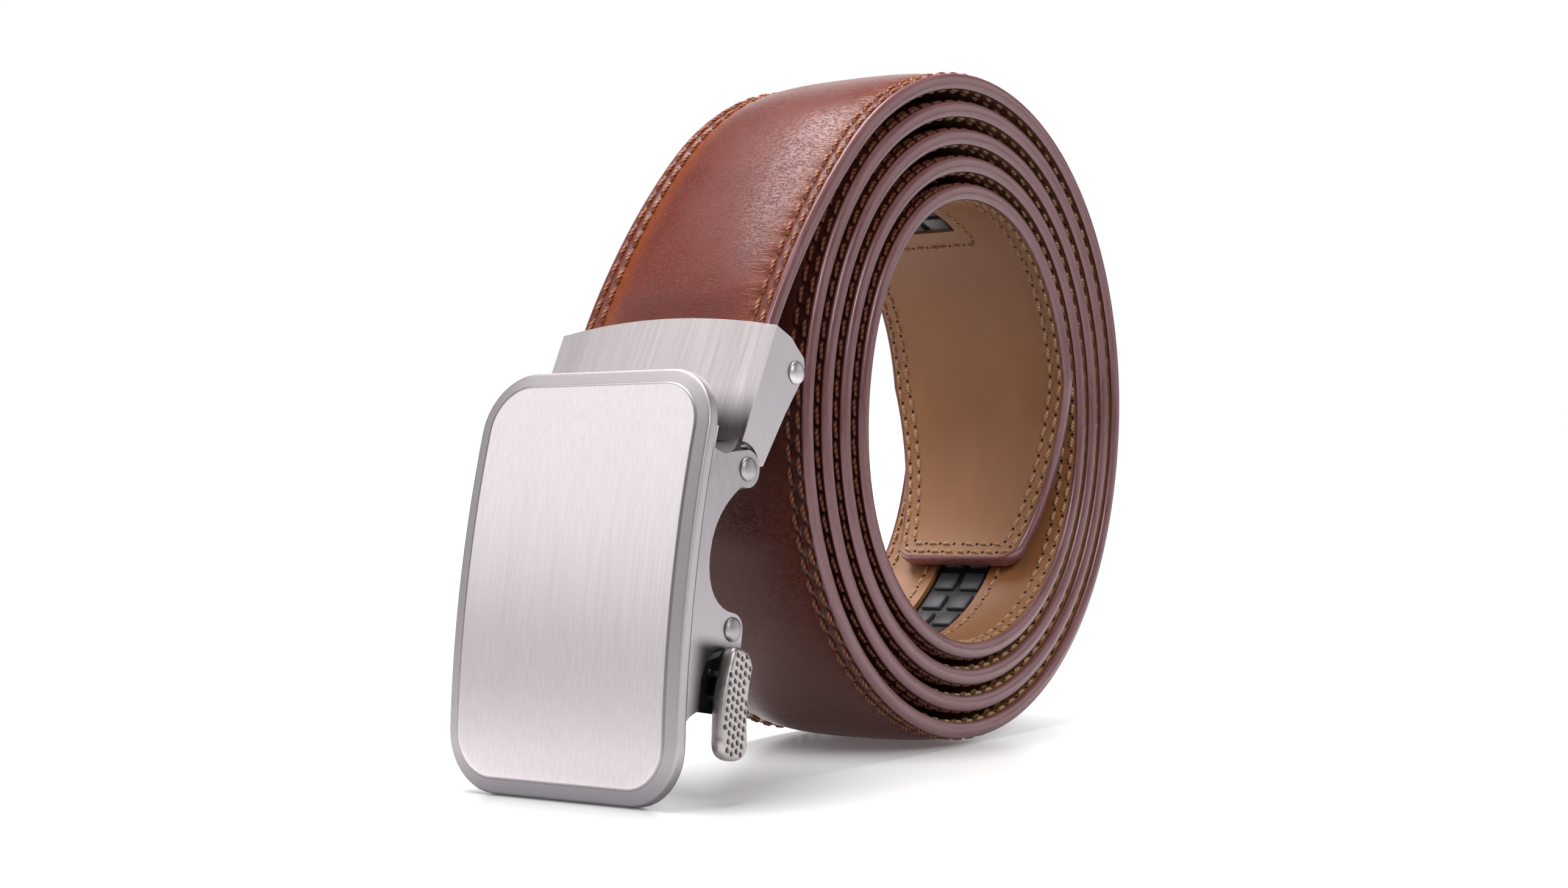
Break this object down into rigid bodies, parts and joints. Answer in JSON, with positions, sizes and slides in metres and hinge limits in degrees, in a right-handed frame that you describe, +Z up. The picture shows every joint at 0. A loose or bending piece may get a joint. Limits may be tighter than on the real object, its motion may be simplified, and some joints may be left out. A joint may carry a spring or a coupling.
{
  "type": "ratchet belt",
  "caption": "Wound leather dress belt with a stitched, padded strap, a hidden ratchet track, a clamped strap end and a brushed plate buckle with a side release lever",
  "frame": {"origin": "middle of the flat facet under the wound strap, where it stands on the table", "axes": "+X across the strap towards the release lever's side, -Y towards the buckle, +Z up"},
  "size_m": [0.0453, 0.1262, 0.1049],
  "materials": {
    "leather": "polished reddish brown, fine grain, painted mauve brown edges",
    "lining": "smooth tan, half matt",
    "track": "black moulded",
    "brushed": "satin brushed nickel plating",
    "antique": "darker nickel plating, worn bright on the high spots"
  },
  "bodies": {
    "strap": {"strap_leather": "leather", "strap_lining": "lining", "ratchet_track": "track", "clamp_cover": "brushed", "clamp_jaw": "antique", "clamp_pin": "antique"},
    "buckle": {"face_plate": "brushed", "buckle_frame": "brushed", "hinge_pin": "antique", "lever_pin": "antique"},
    "lever": {"release_lever": "antique"}
  },
  "joints": [
    {"name": "buckle_hinge", "type": "hinge", "parent": "strap", "child": "buckle", "pos_m": [0, -0.06108, 0.04467], "axis": [1, 0, 0], "range_deg": [-25, 20]},
    {"name": "lever_pivot", "type": "hinge", "parent": "buckle", "child": "lever", "pos_m": [0, -0.06529, 0.02313], "axis": [1, 0, 0], "range_deg": [-12, 0], "stiffness_Nm_per_rad": 0.2, "springref_deg": 11.46}
  ]
}
